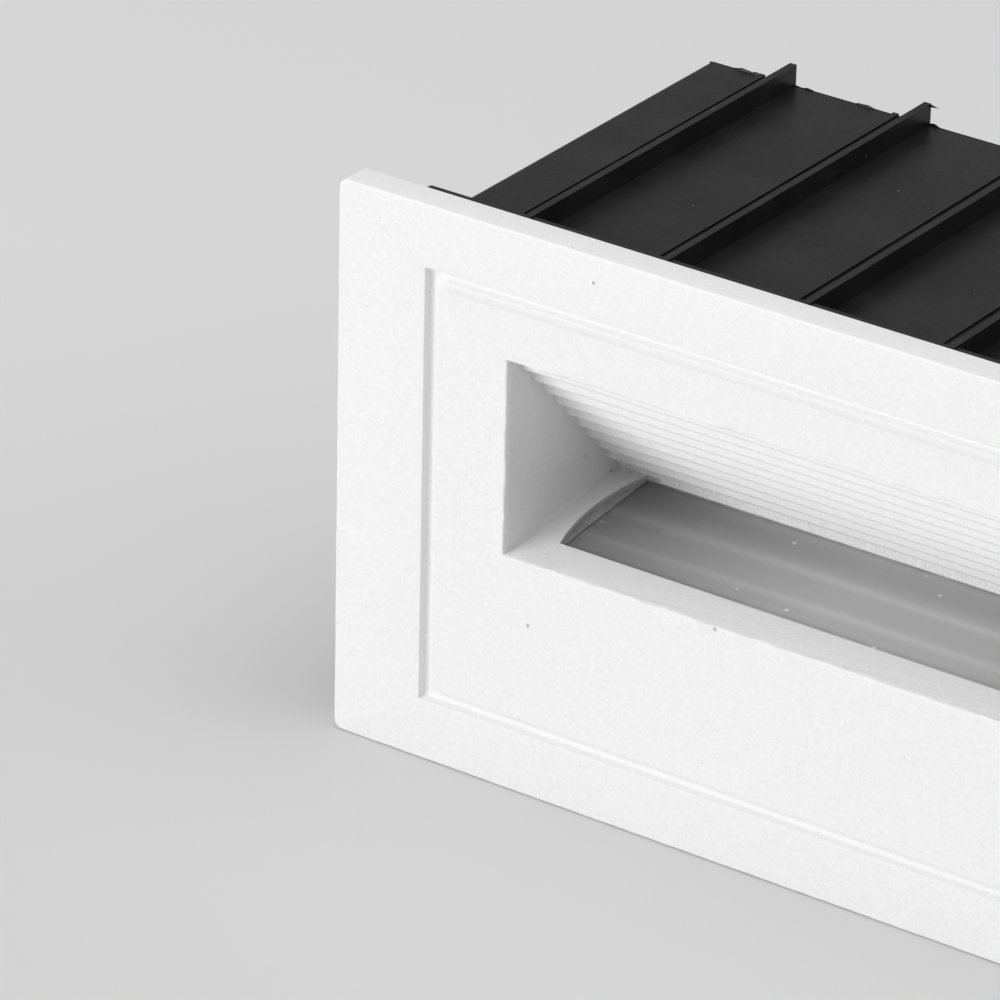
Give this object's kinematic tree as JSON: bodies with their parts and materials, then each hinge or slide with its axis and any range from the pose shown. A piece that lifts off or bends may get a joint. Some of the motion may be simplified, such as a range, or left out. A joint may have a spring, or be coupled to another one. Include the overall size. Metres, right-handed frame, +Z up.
{
  "type": "step light",
  "caption": "Recessed step light: a white cast face with a stepped recess over a frosted sill window, a sealed lamp body with spring clips, and a ribbed black box built into the wall.",
  "frame": {"origin": "centre of the wall opening, on the plane of the face plate's back", "axes": "+X along the face's length, +Y into the wall, +Z up"},
  "size_m": [0.216, 0.0922, 0.11],
  "materials": {
    "white_casting": "matt white coat over a cast surface",
    "frosted_glass": "frosted",
    "grey_silicone": "matt",
    "sheet_steel": "zinc plated",
    "spring_steel": "satin",
    "zinc_screw": "zinc plated",
    "brass_screw": "satin",
    "bare_aluminium": "as cast",
    "white_sheet": "matt white",
    "board_white": "white solder mask",
    "pad_grey": "matt",
    "phosphor": "gloss",
    "ivory_plastic": "satin",
    "lead_red": "satin",
    "lead_black": "satin",
    "white_plastic": "satin",
    "dark_rubber": "matt",
    "black_nylon": "satin",
    "black_foam": "matt",
    "black_box": "satin moulded plastic"
  },
  "bodies": {
    "box": {"wall_box": "black_box", "entry_plug": "black_box"},
    "lamp_body": {"face_casting": "white_casting", "glass_pane": "frosted_glass", "glass_seal": "grey_silicone", "glass_retainer": "sheet_steel", "led_bracket": "bare_aluminium", "retainer_screws": "zinc_screw", "reflector": "white_sheet", "led_board": "board_white", "thermal_pad": "pad_grey", "led_chips": "phosphor", "board_screws": "zinc_screw", "led_connector": "ivory_plastic", "led_lead_red": "lead_red", "led_lead_black": "lead_black", "driver_case": "white_plastic", "driver_pad": "pad_grey", "rear_housing": "bare_aluminium", "housing_seal": "dark_rubber", "housing_screws": "zinc_screw", "gland_body": "black_nylon", "gland_washer": "dark_rubber", "gland_locknut": "black_nylon", "gland_nut": "black_nylon", "gland_bush": "dark_rubber", "earth_screw": "brass_screw", "earth_washer": "zinc_screw", "face_gasket": "black_foam", "clip_bracket_left": "sheet_steel", "clip_bracket_right": "sheet_steel", "clip_pin_left": "sheet_steel", "clip_pin_right": "sheet_steel", "clip_rivets": "bare_aluminium", "clip_spring_left": "spring_steel", "clip_spring_right": "spring_steel"},
    "left_clip": {"clip_arm_left": "spring_steel"},
    "right_clip": {"clip_arm_right": "spring_steel"}
  },
  "joints": [
    {"name": "pull_out", "type": "slide", "parent": "box", "child": "lamp_body", "axis": [0, -1, 0], "range_m": [0, 0.1]},
    {"name": "clip_left_hinge", "type": "hinge", "parent": "lamp_body", "child": "left_clip", "pos_m": [-0.08345, 0.013, 0], "axis": [0, 0, -1], "range_deg": [0, 10], "stiffness_Nm_per_rad": 0.06, "deforming": ["clip_spring_left"]},
    {"name": "clip_right_hinge", "type": "hinge", "parent": "lamp_body", "child": "right_clip", "pos_m": [0.08345, 0.013, 0], "axis": [0, 0, 1], "range_deg": [0, 10], "stiffness_Nm_per_rad": 0.06, "deforming": ["clip_spring_right"]}
  ]
}
